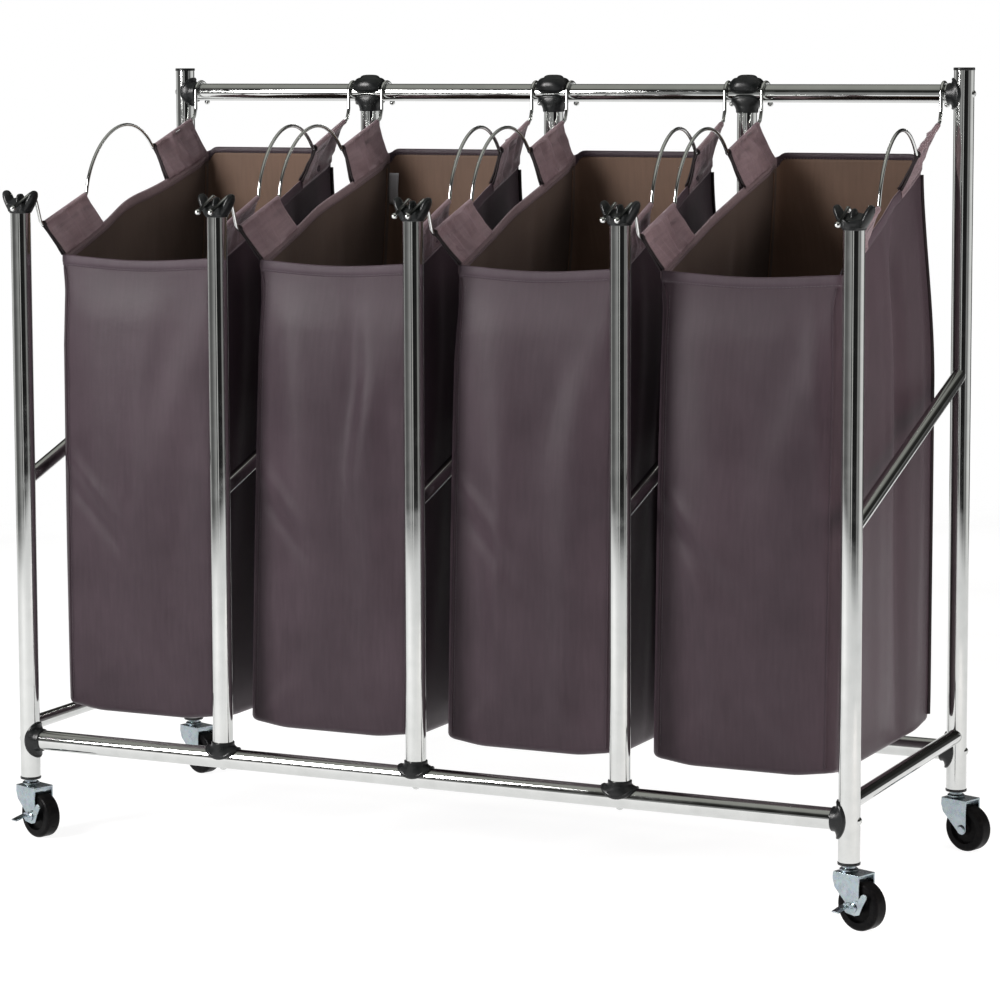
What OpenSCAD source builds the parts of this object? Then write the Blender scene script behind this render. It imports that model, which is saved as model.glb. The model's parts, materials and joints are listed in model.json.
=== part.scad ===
// Laundry sorter on wheels: a chromed tube rack on four swivel casters that holds four
// lift-off fabric bags. X runs across the rack, Y from the front to the back, Z up.
// The origin lies on the floor, midway between the four end posts.

/* [Rack] */
// Distance between post centres in the two outer bays
outer_bay = 247; // [220:1:280]
// Distance between post centres in the two inner bays
inner_bay = 233; // [220:1:280]
// Distance between the front and rear post centres
frame_depth = 360; // [340:5:400]
// Height of the top of the rear end posts, caps included
rack_h = 850; // [830:5:900]
// Height of the tube end of the front posts
front_post_top = 694; // [680:1:700]
// Height of the top rail's centre line
top_rail_z = 822; // [810:1:825]
// Height of the bottom rails' centre line
bottom_rail_z = 108; // [100:1:115]
// Height of the end frames' side rails
side_rail_z = 125; // [120:1:128]
// Height of a brace's centre line at the front post
brace_front_z = 398; // [300:1:450]
// Height of a brace's centre line at the rear post
brace_rear_z = 522; // [450:1:600]

/* [Tubes] */
// Outer diameter of the posts and bottom rails
post_d = 22; // [20:1:24]
// Outer diameter of the top rail
top_rail_d = 20; // [18:1:20]
// Outer diameter of the braces and side rails
brace_d = 16; // [14:1:18]
// Wall thickness of every tube
tube_wall = 1.2; // [1:0.1:1.5]

/* [Casters] */
// Wheel diameter
wheel_d = 50; // [46:1:50]
// Wheel tread width
wheel_w = 18; // [14:1:20]
// Horizontal distance from the swivel axis to the axle
caster_trail = 17; // [14:1:18]
// Direction in which all four casters trail, in degrees from +X
trail_angle = -20; // [-180:5:180]

/* [Bags] */
// Width of each bag
bag_w = 194; // [180:1:194]
// Front face of the bags
bag_front_y = -139; // [-150:1:-130]
// Rear face of the bags
bag_rear_y = 166; // [150:1:166]
// Height of the underside of the bags
bag_bottom_z = 137; // [136:1:150]
// Height of the front panel's top edge
bag_front_top = 646; // [600:1:650]
// Height of the rear panel's top edge
bag_rear_top = 757; // [740:1:760]
// Thickness of the fabric wall as a solid
bag_wall = 2.4; // [2:0.1:3]

/* [Hangers] */
// Diameter of the hanger wire
wire_d = 3.8; // [3:0.1:4]
// Sideways distance from the front post centre to a wire in its notch
notch_x = 8.7; // [8:0.1:9]
// Sideways distance from the rear post centre to a wire on the top rail
hook_x = 22; // [21.5:0.1:23]
// Height of the handle arch above its chord
handle_rise = 48; // [40:1:55]

/* [Hidden] */
$fn = 48;

chrome = [0.80, 0.81, 0.82];
zinc = [0.74, 0.77, 0.79];
black = [0.06, 0.06, 0.065];
fabric = [0.37, 0.32, 0.36];

post_x = [-inner_bay - outer_bay, -inner_bay, 0, inner_bay, inner_bay + outer_bay];
front_y = -frame_depth / 2;
rear_y = frame_depth / 2;
post_r = post_d / 2;
rail_r = top_rail_d / 2;
bore_r = post_r - tube_wall;        // inside of a post tube
cap_t = 3;                          // thickness of a rear post cap
socket_t = 3;                       // thickness of a caster socket's visible ring
post_foot_z = 66.5;                 // lower end of the end posts
saddle_floor = 2;                   // plastic left between a post's foot and its rail
eps = 0.01;                         // lets a cut pass just beyond a face

// ---- tubes ----

// A straight tube from p to q, open at both ends
module tube_between(p, q, d) {
    v = q - p;
    translate(p)
        rotate([0, acos(v[2] / norm(v)), atan2(v[1], v[0])])
            difference() {
                cylinder(d = d, h = norm(v));
                translate([0, 0, -1])
                    cylinder(d = d - 2 * tube_wall, h = norm(v) + 2);
            }
}

function is_end(i) = i == 1 || i == 5;

module post(x, y, foot, top) {
    tube_between([x, y, foot], [x, y, top], post_d);
}

module front_post(i) {
    foot = is_end(i) ? post_foot_z : bottom_rail_z + post_r + saddle_floor;
    color(chrome) post(post_x[i - 1], front_y, foot, front_post_top);
}

module rear_post(i) {
    foot = is_end(i) ? post_foot_z : bottom_rail_z + post_r + saddle_floor;
    top = is_end(i) ? rack_h - cap_t : top_rail_z - rail_r - saddle_floor;
    color(chrome) post(post_x[i - 1], rear_y, foot, top);
}

// A tube between a front and a rear post, its ends coped to fit the round posts
module cross_tube(x, front_z, rear_z) {
    difference() {
        tube_between([x, front_y, front_z], [x, rear_y, rear_z], brace_d);
        for (y = [front_y, rear_y])
            translate([x, y, 0]) cylinder(r = post_r, h = rack_h);
    }
}

module brace(i) {
    color(chrome) cross_tube(post_x[i - 1], brace_front_z, brace_rear_z);
}

module side_rail(i) {
    color(chrome) cross_tube(post_x[i - 1], side_rail_z, side_rail_z);
}

// A long rail between the left and right end posts, its ends coped too
module long_rail(y, z, d) {
    color(chrome) difference() {
        tube_between([post_x[0], y, z], [post_x[4], y, z], d);
        for (x = [post_x[0], post_x[4]])
            translate([x, y, 0]) cylinder(r = post_r, h = rack_h);
    }
}

// ---- plastic joints ----

// Flared cup that seats a rail on a post: a collar saddled on the post, narrowing
// to a sleeve round the rail. The post axis is at the origin and the rail runs to +X.
module end_cup(r_rail, r_rim) {
    rim_x = 12.5;                   // where the flare is widest
    sleeve_x = 19.5;                // where the sleeve ends on the rail
    sleeve_r = r_rail + 2.3;
    flare = [for (a = [0 : 15 : 90])
        [r_rim - (r_rim - sleeve_r) * sin(a), rim_x + (sleeve_x - rim_x) * (1 - cos(a))]];
    difference() {
        union() {
            intersection() {
                cylinder(r = post_r + 3.2, h = 2 * r_rim + 2, center = true);
                translate([1.5, 0, 0]) rotate([0, 90, 0]) cylinder(r = r_rim - 0.4, h = 20);
            }
            rotate([0, 90, 0])
                rotate_extrude()
                    polygon(concat([[0, 6], [r_rim - 4, 6], [r_rim, rim_x - 1.5]], flare,
                        [[0, sleeve_x]]));
        }
        cylinder(r = post_r, h = 3 * r_rim, center = true);
        rotate([0, 90, 0]) cylinder(r = r_rail, h = 40);
    }
}

module rail_end_cups() {
    rim_bottom = 20;                // rim radius at the bottom rails
    rim_top = 18;                   // rim radius at the top rail
    color(black) for (side = [0, 1]) mirror([side, 0, 0]) {
        difference() {
            for (y = [front_y, rear_y])
                translate([post_x[0], y, bottom_rail_z]) end_cup(post_r, rim_bottom);
            translate([post_x[0], 0, side_rail_z]) rotate([90, 0, 0])
                cylinder(d = brace_d + 0.2, h = frame_depth, center = true);
        }
        translate([post_x[0], rear_y, top_rail_z]) end_cup(rail_r, rim_top);
    }
}

// Saddle that stands an intermediate post on a bottom rail
module bottom_saddle() {
    sleeve_r = post_r + 1.5;
    sleeve_top = 19.5;              // top of the sleeve above the rail's centre line
    hug_r = post_r + 2.5;           // outside of the part that hugs the rail
    reach = 19.5;                   // how far the hugging part reaches along the rail
    difference() {
        union() {
            translate([0, 0, 2]) cylinder(r = sleeve_r, h = sleeve_top - 2);
            translate([0, 0, 8]) cylinder(r1 = reach - 1, r2 = sleeve_r - 0.4, h = 8.5);
            intersection() {
                rotate([0, 90, 0]) cylinder(r = hug_r, h = 3 * reach, center = true);
                translate([0, 0, 18]) rotate([90, 0, 0])
                    cylinder(r = reach, h = 3 * reach, center = true);
            }
        }
        rotate([0, 90, 0]) cylinder(r = post_r, h = 4 * reach, center = true);
        translate([0, 0, post_r + saddle_floor]) cylinder(r = post_r, h = 20);
    }
}

module bottom_saddles() {
    color(black) for (i = [1 : 3]) for (y = [front_y, rear_y])
        translate([post_x[i], y, bottom_rail_z]) bottom_saddle();
}

// Domed T joint that carries the top rail on an intermediate rear post
module top_saddle() {
    half = 19;                      // half its length along the rail
    flat = 12;                      // half the length of its flat crown
    crown_r = 17.5;
    end_r = 12.4;
    neck_foot = -24;                // lower end of the neck below the rail's centre line
    seam_z = -5;                    // parting line of its two halves
    difference() {
        union() {
            rotate([0, 90, 0])
                rotate_extrude()
                    polygon([[0, -half], [end_r, -half], [crown_r, -flat], [crown_r, flat],
                        [end_r, half], [0, half]]);
            translate([0, 0, neck_foot])
                cylinder(r1 = post_r + 2, r2 = crown_r + 0.3, h = 14);
        }
        rotate([0, 90, 0]) cylinder(r = rail_r, h = 3 * half, center = true);
        translate([0, 0, neck_foot - 1])
            cylinder(r = post_r, h = -neck_foot + 1 - rail_r - saddle_floor);
        difference() {
            translate([0, 0, seam_z]) cube([3 * half, 3 * half, 1.2], center = true);
            rotate([0, 90, 0]) cylinder(r = rail_r + 2, h = 4 * half, center = true);
            translate([0, 0, neck_foot]) cylinder(r = post_r, h = 30);
        }
    }
}

module top_saddles() {
    color(black) for (i = [1 : 3])
        translate([post_x[i], rear_y, top_rail_z]) top_saddle();
}

// ---- front hook caps ----

notch_rise = 23.1;                  // slope of the two notches, in degrees
notch_z = 18.1;                     // wire centre above the tube end, over the post axis
notch_gap = 0.4;                    // play round the wire
cap_half_y = 11;                    // half the cap's depth
web_z = 16.8;                       // top of the web that carries the wires, over the post axis
web_rear_y = 4;                     // rear face of that web, behind the post axis
function web_top(y) = web_z + y * tan(notch_rise);

// Outline of a bar with a round end of its own radius at each of two points
function bar_outline(low, high, r_low, r_high) =
    let (v = high - low,
         turn = atan2(v[1], v[0]),
         open = acos((r_low - r_high) / norm(v)))
    concat(
        [for (k = [0 : 4]) high + r_high * dir(turn - open + k * open / 2)],
        [for (k = [0 : 6]) low + r_low * dir(turn + open + k * (180 - open) / 3)]);

function dir(a) = [cos(a), sin(a)];

// One lobe of the cap, extruded from front to back
module lobe(low, high, r_low, r_high) {
    rotate([90, 0, 0])
        linear_extrude(2 * cap_half_y, center = true)
            polygon(bar_outline(low, high, r_low, r_high));
}

// Open-topped slot for a wire, round at the bottom
module notch() {
    r = wire_d / 2 + notch_gap;
    rotate([90, 0, 0])
        linear_extrude(60, center = true)
            polygon(concat([for (a = [180 : 22.5 : 360]) r * dir(a)], [[r, 25], [-r, 25]]));
}

// Plug cap with a centre peak and two side lobes, which make two notches for the wires
module hook_cap() {
    difference() {
        union() {
            translate([0, 0, -14]) cylinder(r = bore_r - 0.1, h = 15);
            cylinder(r = post_r + 0.9, h = 4.5);
            translate([0, 0, 3])
                cylinder(r1 = post_r, r2 = post_r + 2.4, h = 9);
            intersection() {
                union() {
                    for (side = [-1, 1]) lobe([side * 11, 8], [side * 17.6, 20.2], 4, 4.3);
                    lobe([0, 8], [0, 19.5], 4.5, 2.6);
                }
                translate([0, 0, 9]) rotate([0, 90, 0])
                    cylinder(r = 16, h = 60, center = true);
            }
            intersection() {
                cylinder(r = post_r + 2.4, h = 30);
                rotate([90, 0, 90]) linear_extrude(40, center = true)
                    polygon([[-20, 3], [web_rear_y, 3], [web_rear_y, web_top(web_rear_y)],
                        [-20, web_top(-20)]]);
            }
        }
        for (side = [-1, 1])
            translate([side * notch_x, 0, notch_z]) rotate([notch_rise, 0, 0]) notch();
    }
}

module hook_caps() {
    color(black) for (x = post_x)
        translate([x, front_y, front_post_top]) hook_cap();
}

module rear_post_caps() {
    plug_h = 12;
    color(black) for (x = [post_x[0], post_x[4]])
        translate([x, rear_y, rack_h - cap_t]) {
            cylinder(r = post_r + 0.6, h = cap_t);
            translate([0, 0, -plug_h]) cylinder(r = bore_r - 0.1, h = plug_h + 1);
        }
}

// ---- screws ----

// Low domed head, its flat side at z = 0
module dome_head(r, h) {
    ball_r = (r * r + h * h) / (2 * h);
    intersection() {
        translate([0, 0, h - ball_r]) sphere(r = ball_r, $fn = 64);
        cylinder(r = r + 1, h = h + 1);
    }
}

module assembly_screws() {
    head_r = 4.5;
    head_h = 2.6;
    sink = 0.4;                     // the head's rim meets the round tube
    color(chrome) {
        for (side = [0, 1]) mirror([side, 0, 0]) {
            for (at = [[front_y, bottom_rail_z], [rear_y, bottom_rail_z],
                       [rear_y, top_rail_z]])
                difference() {
                    translate([post_x[0] - post_r + sink + 0.5, at[0], at[1]])
                        rotate([0, -90, 0]) {
                            dome_head(head_r, head_h + 0.5);
                            translate([0, 0, -1]) cylinder(r = head_r - 1, h = 1.5);
                        }
                    translate([post_x[0], at[0], at[1]])
                        cylinder(r = post_r, h = 30, center = true);
                }
        }
        for (i = [1 : 3]) for (y = [front_y, rear_y])
            difference() {
                translate([post_x[i], y, bottom_rail_z - post_r + sink + 0.5])
                    mirror([0, 0, 1]) {
                        dome_head(head_r, head_h + 0.5);
                        translate([0, 0, -1]) cylinder(r = head_r - 1, h = 1.5);
                    }
                translate([post_x[i], y, bottom_rail_z])
                    rotate([0, 90, 0]) cylinder(r = post_r, h = 30, center = true);
            }
    }
}

// ---- casters ----
// Numbered front left, front right, rear right, rear left.

caster_at = [
    [post_x[0], front_y], [post_x[4], front_y],
    [post_x[4], rear_y], [post_x[0], rear_y]
];
wheel_r = wheel_d / 2;
axle_r = 3;
stem_r = 5.4;                       // stem inside its socket
pivot_r = 4.5;                      // stem where the fork turns on it
run_gap = 0.08;                     // play of a turning fit
plate_top = 57.2;                   // top of the fork's plate
plate_t = 2;
leg_out = 13;                       // outside of a fork leg
leg_t = 1.8;
lever_in = leg_out + 0.3;           // inside face of a brake lever
lever_t = 1.6;

module at_caster(i) {
    translate([caster_at[i - 1][0], caster_at[i - 1][1], 0])
        rotate([0, 0, trail_angle]) children();
}

module caster_sockets() {
    plug_top = 96;
    color(black) for (i = [1 : 4]) at_caster(i) difference() {
        union() {
            translate([0, 0, post_foot_z - socket_t]) cylinder(r = post_r + 0.6, h = socket_t);
            translate([0, 0, post_foot_z - 1])
                cylinder(r = bore_r - 0.1, h = plug_top - post_foot_z + 1);
        }
        translate([0, 0, 50]) cylinder(r = stem_r, h = 60);
    }
}

// Stem with its ball-race flange above the fork's plate and its riveted head below
module caster_stems() {
    head_z = 52.4;
    flange_top = 60.2;
    ring_z = post_foot_z - socket_t;
    color(zinc) for (i = [1 : 4]) at_caster(i)
        rotate_extrude()
            polygon([[0, head_z], [6.4, head_z], [7.6, head_z + 1], [7.6, plate_top - plate_t - 0.3],
                [pivot_r, plate_top - plate_t - 0.3], [pivot_r, plate_top + 0.3],
                [9.5, plate_top + 0.3], [9.5, flange_top - 1], [8.3, flange_top],
                [6.6, flange_top], [6.2, ring_z], [stem_r, ring_z], [stem_r, 94], [4.6, 95.5],
                [0, 95.5]]);
}

// Outline of a fork leg seen from its outer side, the wheel trailing to the right
function leg_outline() = concat(
    [[-10, plate_top], [-10.6, 50], [-8, 41.5]],
    [for (a = [215 : 15 : 350]) [caster_trail + 5.8 * cos(a), wheel_r + 5.8 * sin(a)]],
    [[caster_trail + 5.8, wheel_r], [caster_trail + 5.6, plate_top]]);

module caster_fork(i) {
    color(zinc) at_caster(i) difference() {
        union() {
            translate([-10, -leg_out, plate_top - plate_t])
                cube([caster_trail + 15.6, 2 * leg_out, plate_t]);
            for (y = [-leg_out + leg_t, leg_out])
                translate([0, y, 0]) rotate([90, 0, 0])
                    linear_extrude(leg_t) polygon(leg_outline());
        }
        translate([0, 0, 40]) cylinder(r = pivot_r + run_gap, h = 30);
        translate([caster_trail, 0, wheel_r]) rotate([90, 0, 0])
            cylinder(r = axle_r + 0.05, h = 60, center = true);
    }
}

function has_brake(i) = i <= 2;

// Riveted axle; on a braked caster it also carries the lever on the outer side
module caster_axle(i) {
    outer = has_brake(i) ? lever_in + lever_t + 0.2 : leg_out;
    head_t = 1.8;
    color(zinc) at_caster(i) translate([caster_trail, 0, wheel_r]) rotate([90, 0, 0])
        rotate_extrude()
            polygon([[0, -leg_out - head_t], [3.4, -leg_out - head_t], [5, -leg_out - 0.8],
                [5, -leg_out], [axle_r, -leg_out], [axle_r, outer], [5, outer],
                [5, outer + 0.8], [3.4, outer + head_t], [0, outer + head_t]]);
}

module caster_wheel(i) {
    hub_half = 10.8;
    half = wheel_w / 2;
    shoulder = 3.5;
    tread = [for (a = [0 : 22.5 : 90])
        [wheel_r - shoulder + shoulder * sin(a), half - shoulder + shoulder * cos(a)]];
    half_profile = concat([[axle_r + run_gap, hub_half], [6.5, hub_half], [7.2, 6.2],
        [15.6, 5.4], [16.6, half]], tread);
    lower = [for (k = [len(half_profile) - 1 : -1 : 0])
        [half_profile[k][0], -half_profile[k][1]]];
    color(black) at_caster(i) translate([caster_trail, 0, wheel_r]) rotate([90, 0, 0])
        rotate_extrude() polygon(concat(half_profile, lower));
}

// Stamped brake lever on the axle's outer end, with a foot tab bent outwards
module brake_lever(i) {
    tab_w = 9;
    tab_out = 15;
    outline = [[-13, -2], [-9, -6.5], [2, -8], [8, -6.2], [11.5, 2], [17, 11.5], [16.5, 14.5],
        [13.5, 16], [10.5, 14.5], [5.5, 6.5], [0, 6.4], [-6, 4], [-12, 2.6]];
    color(zinc) at_caster(i) translate([caster_trail, -lever_in, wheel_r])
        difference() {
            union() {
                rotate([90, 0, 0]) linear_extrude(lever_t) polygon(outline);
                translate([-15, 0, 0]) rotate([14, 0, 0])
                    translate([0, -tab_out - lever_t, -0.6]) cube([tab_w, tab_out + lever_t, 1.6]);
            }
            rotate([90, 0, 0]) cylinder(r = axle_r + run_gap, h = 30, center = true);
            translate([-30, 0, -30]) cube(60);
        }
}

// ---- hangers ----
// A hanger is one bent wire. It runs from a ball tip in the front notch, down to the
// front tab, through it, up and over as a handle, through the rear tab, and over the top
// rail to a second ball tip. All its points are [y, z] in a plane that leans by skew.

skew = (hook_x - notch_x) / frame_depth;
sleeve_slope = 0.3537;              // rise of the two tabs' sleeves per unit of depth
sleeve_y0 = -151;
sleeve_z0 = 680;
handle_y0 = -65;
handle_y1 = 73;
sleeve_y1 = 158;
rest_gap = 0.3;                     // gap left over the rail at rest
hook_r = rail_r + wire_d / 2 + 0.7; // bend radius of the rear hook
hook_z = top_rail_z + rail_r + wire_d / 2 + rest_gap - hook_r;
wire_r = wire_d / 2;
ball_r = 3.2;

function on_sleeve(y) = [y, sleeve_z0 + (y - sleeve_y0) * sleeve_slope];

front_hook = [[-207, 700.4], [-174, 714.5], [-169, 714.6], [-165, 710.5], [-161.5, 702],
    [-155.5, 684.5]];

// The handle is a circular arc on its chord, drawn back a little towards the rear
handle_a = on_sleeve(handle_y0);
handle_b = on_sleeve(handle_y1);
chord = handle_b - handle_a;
half_chord = norm(chord) / 2;
along = chord / norm(chord);
across = [-along[1], along[0]];
arc_r = (half_chord * half_chord + handle_rise * handle_rise) / (2 * handle_rise);
arc_half = asin(half_chord / arc_r);
handle_set_back = 7;
handle_steps = 10;
function handle_point(k) =
    let (a = arc_half * (2 * k / handle_steps - 1),
         u = arc_r * sin(a),
         v = arc_r * cos(a) - (arc_r - handle_rise),
         back = handle_set_back * (1 - pow(u / half_chord, 2)))
    (handle_a + handle_b) / 2 + along * (u + back) + across * v;
handle_arc = [for (k = [0 : handle_steps]) handle_point(k)];

rear_hook = concat([[163.4, 792.6], [166.6, 797.6], [rear_y - hook_r, 803]],
    [for (a = [180 : -22.5 : 0]) [rear_y + hook_r * cos(a), hook_z + hook_r * sin(a)]],
    [[rear_y + hook_r, 810]]);

wire_route = concat(front_hook, [on_sleeve(sleeve_y0)], handle_arc,
    [on_sleeve(sleeve_y1)], rear_hook);

// Place of a route point beside post x; side is 1 to its right and -1 to its left
function wire_at(p, x, side) =
    [x + side * (notch_x + (p[0] - front_y) * skew), p[0], p[1]];

module rod(p, q, r) {
    v = q - p;
    translate(p)
        rotate([0, acos(v[2] / norm(v)), atan2(v[1], v[0])])
            cylinder(r = r, h = norm(v), $fn = 24);
}

// Rings of a ball end, from its pole to the wire: [distance beyond the end, radius]
ball_rings = concat([for (a = [72 : -36 : -36]) ball_r * [sin(a), cos(a)]],
    [[-sqrt(ball_r * ball_r - wire_r * wire_r), wire_r]]);

function unit(v) = v / norm(v);

// Rings along a flat route, as [centre, direction, radius], with a ball at each end
function wire_rings(route) =
    let (n = len(route) - 1,
         d0 = unit(route[1] - route[0]),
         d1 = unit(route[n] - route[n - 1]))
    concat(
        [for (b = ball_rings) [route[0] - d0 * b[0], d0, b[1]]],
        [for (k = [1 : n - 1])
            [route[k], unit(unit(route[k + 1] - route[k]) + unit(route[k] - route[k - 1])),
             wire_r]],
        [for (k = [len(ball_rings) - 1 : -1 : 0])
            [route[n] + d1 * ball_rings[k][0], d1, ball_rings[k][1]]]);

// A round wire swept through the rings; normal is square to the plane of the route
module swept_wire(rings, normal, sides) {
    last = len(rings) - 1;
    points = [for (g = rings)
        let (across = cross(g[1], normal))
        for (k = [0 : sides - 1])
            g[0] + g[2] * (cos(360 * k / sides) * normal + sin(360 * k / sides) * across)];
    walls = [for (j = [0 : last - 1]) for (k = [0 : sides - 1])
        let (a = j * sides + k,
             b = j * sides + (k + 1) % sides)
        for (f = [[a, b, b + sides], [a, b + sides, a + sides]]) f];
    ends = [for (k = [1 : sides - 2])
        for (f = [[0, k + 1, k], [last * sides, last * sides + k, last * sides + k + 1]]) f];
    polyhedron(points, concat(walls, ends));
}

module hanger(x, side) {
    route = [for (p = wire_route) wire_at(p, x, side)];
    normal = unit([1, -side * skew, 0]);
    color(chrome) swept_wire(wire_rings(route), normal, 8);
}

module hanger_left(i) { hanger(post_x[i - 1], 1); }
module hanger_right(i) { hanger(post_x[i], -1); }

// ---- bags ----

tab_gap = 0.4;                      // play of the wire in its sewn sleeve
tab_r = wire_r + tab_gap + 1.5;
tab_inset = 2.5;                    // how far a tab stays from each bend of the wire
panel_slope = (bag_rear_top - 12 - bag_front_top) / (bag_rear_y - bag_front_y);
function panel_top(y) = bag_front_top + (y - bag_front_y) * panel_slope;

function round_rect(x0, x1, y0, y1, r) = [
    for (c = [[x1 - r, y1 - r, 0], [x0 + r, y1 - r, 90], [x0 + r, y0 + r, 180],
              [x1 - r, y0 + r, 270]])
        for (a = [0 : 22.5 : 90]) [c[0] + r * cos(c[2] + a), c[1] + r * sin(c[2] + a)]];

// A sewn tab: from the side panel's top edge up round the wire
module tab(x, side, panel_x, y0, y1) {
    a = wire_at(on_sleeve(y0), x, side);
    b = wire_at(on_sleeve(y1), x, side);
    in = bag_wall - 0.4;
    hull() {
        rod(a, b, tab_r);
        for (y = [y0 + 5, y1 + 5])
            translate([panel_x + (side > 0 ? 0.2 : -in - 0.2), y - 1, panel_top(y) - 8])
                cube([in, 2, 6]);
    }
}

module bag(i) {
    x0 = post_x[i - 1];
    x1 = post_x[i];
    mid = (x0 + x1) / 2;
    left = mid - bag_w / 2;
    right = mid + bag_w / 2;
    corner_r = 14;
    wall_y = bag_front_y + bag_wall;
    color(fabric) difference() {
        union() {
            difference() {
                translate([0, 0, bag_bottom_z])
                    linear_extrude(bag_rear_top - bag_bottom_z)
                        polygon(round_rect(left, right, bag_front_y, bag_rear_y, corner_r));
                translate([0, 0, bag_bottom_z + bag_wall])
                    linear_extrude(bag_rear_top)
                        polygon(round_rect(left + bag_wall, right - bag_wall, wall_y,
                            bag_rear_y - bag_wall, corner_r - bag_wall));
                translate([x0, 0, 0]) rotate([90, 0, 90]) linear_extrude(x1 - x0)
                    polygon([[-300, bag_front_top], [bag_front_y, bag_front_top],
                        [bag_rear_y - 12, panel_top(bag_rear_y - 12)],
                        [bag_rear_y - 4, bag_rear_top + eps], [bag_rear_y - 4, rack_h],
                        [-300, rack_h]]);
            }
            for (span = [[sleeve_y0 + tab_inset, handle_y0 - tab_inset],
                         [handle_y1 + tab_inset, sleeve_y1 - tab_inset]]) {
                tab(x0, 1, left, span[0], span[1]);
                tab(x1, -1, right, span[0], span[1]);
            }
        }
        for (end = [[x0, 1], [x1, -1]])
            rod(wire_at(on_sleeve(sleeve_y0 - 20), end[0], end[1]),
                wire_at(on_sleeve(sleeve_y1 + 20), end[0], end[1]), wire_r + tab_gap);
    }
}

front_post(1);  // front_post_1
front_post(2);  // front_post_2
front_post(3);  // front_post_3
front_post(4);  // front_post_4
front_post(5);  // front_post_5
rear_post(1);  // rear_post_1
rear_post(2);  // rear_post_2
rear_post(3);  // rear_post_3
rear_post(4);  // rear_post_4
rear_post(5);  // rear_post_5
brace(1);  // brace_1
brace(2);  // brace_2
brace(3);  // brace_3
brace(4);  // brace_4
brace(5);  // brace_5
side_rail(1);  // side_rail_left
side_rail(5);  // side_rail_right
long_rail(front_y, bottom_rail_z, post_d);  // front_bottom_rail
long_rail(rear_y, bottom_rail_z, post_d);  // rear_bottom_rail
long_rail(rear_y, top_rail_z, top_rail_d);  // top_rail
rail_end_cups();
bottom_saddles();
top_saddles();
hook_caps();
rear_post_caps();
caster_sockets();
assembly_screws();
caster_stems();
caster_fork(1);  // caster_fork_1
caster_fork(2);  // caster_fork_2
caster_fork(3);  // caster_fork_3
caster_fork(4);  // caster_fork_4
caster_axle(1);  // caster_axle_1
caster_axle(2);  // caster_axle_2
caster_axle(3);  // caster_axle_3
caster_axle(4);  // caster_axle_4
caster_wheel(1);  // caster_wheel_1
caster_wheel(2);  // caster_wheel_2
caster_wheel(3);  // caster_wheel_3
caster_wheel(4);  // caster_wheel_4
brake_lever(1);  // brake_lever_1
brake_lever(2);  // brake_lever_2
bag(1);  // bag_1
bag(2);  // bag_2
bag(3);  // bag_3
bag(4);  // bag_4
hanger_left(1);  // hanger_1_left
hanger_right(1);  // hanger_1_right
hanger_left(2);  // hanger_2_left
hanger_right(2);  // hanger_2_right
hanger_left(3);  // hanger_3_left
hanger_right(3);  // hanger_3_right
hanger_left(4);  // hanger_4_left
hanger_right(4);  // hanger_4_right
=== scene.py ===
import json
import math

import bmesh
import bpy
import numpy as np
from mathutils import Matrix, Quaternion, Vector, noise


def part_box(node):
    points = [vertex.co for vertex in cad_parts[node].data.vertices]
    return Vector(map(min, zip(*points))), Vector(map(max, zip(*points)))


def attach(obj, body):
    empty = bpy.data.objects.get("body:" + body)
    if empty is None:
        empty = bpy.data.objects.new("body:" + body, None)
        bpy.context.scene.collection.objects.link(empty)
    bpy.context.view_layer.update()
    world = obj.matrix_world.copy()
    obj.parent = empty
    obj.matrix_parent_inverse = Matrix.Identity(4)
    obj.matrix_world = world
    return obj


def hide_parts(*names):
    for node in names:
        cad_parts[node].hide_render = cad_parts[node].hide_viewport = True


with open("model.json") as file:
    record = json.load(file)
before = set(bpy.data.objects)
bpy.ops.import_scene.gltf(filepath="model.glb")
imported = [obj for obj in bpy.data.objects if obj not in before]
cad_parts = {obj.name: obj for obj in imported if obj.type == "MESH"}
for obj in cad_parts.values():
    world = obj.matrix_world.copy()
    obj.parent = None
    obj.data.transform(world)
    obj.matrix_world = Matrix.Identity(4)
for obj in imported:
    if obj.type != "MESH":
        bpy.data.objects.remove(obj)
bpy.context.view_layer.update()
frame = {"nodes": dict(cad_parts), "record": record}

MM = 0.001    # the scene is in metres

# ---- places taken from the frame ----

NODES = frame["nodes"]
POSTS = range(1, 6)
BAGS = range(1, 5)
CASTERS = range(1, 5)
BRAKED = range(1, 3)


def middle(node):
    low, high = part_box(node)
    return (low + high) / 2


POST_X = [middle(f"front_post_{i}").x for i in POSTS]
FRONT_Y = middle("front_post_1").y
REAR_Y = middle("rear_post_1").y
TOP_RAIL_Z = middle("top_rail").z
TOP_RAIL_R = (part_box("top_rail")[1].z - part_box("top_rail")[0].z) / 2
BAG_LOW, BAG_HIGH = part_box("bag_2")
BAG_BOTTOM = BAG_LOW.z

# ---- fabric and wire measures, in metres ----

BAG_W = 194 * MM
BAG_FRONT_Y = -139 * MM
BAG_REAR_Y = BAG_HIGH.y
FRONT_TOP = 646 * MM
REAR_TOP = 757 * MM
RIM_SLOPE = 0.334
BAG_DEPTH = BAG_REAR_Y - BAG_FRONT_Y
FRONT_SHARE = (FRONT_TOP - BAG_BOTTOM) / (REAR_TOP - BAG_BOTTOM)
PANELS = ("front", "right", "rear", "left")
SIDES = ("left", "right")
CLOTH = 0.9 * MM
HEM_H = 11 * MM
FOOT_R = 7 * MM
FOLD_SPAN = 0.6          # folds lean and fade over this height for a whole share of the bag's
SIDE_BULGE = 8.5 * MM    # the most that a side wall stands out towards its neighbour
SEAM_DROP = 11 * MM      # from a wire down to the stitches that close its sleeve

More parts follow.
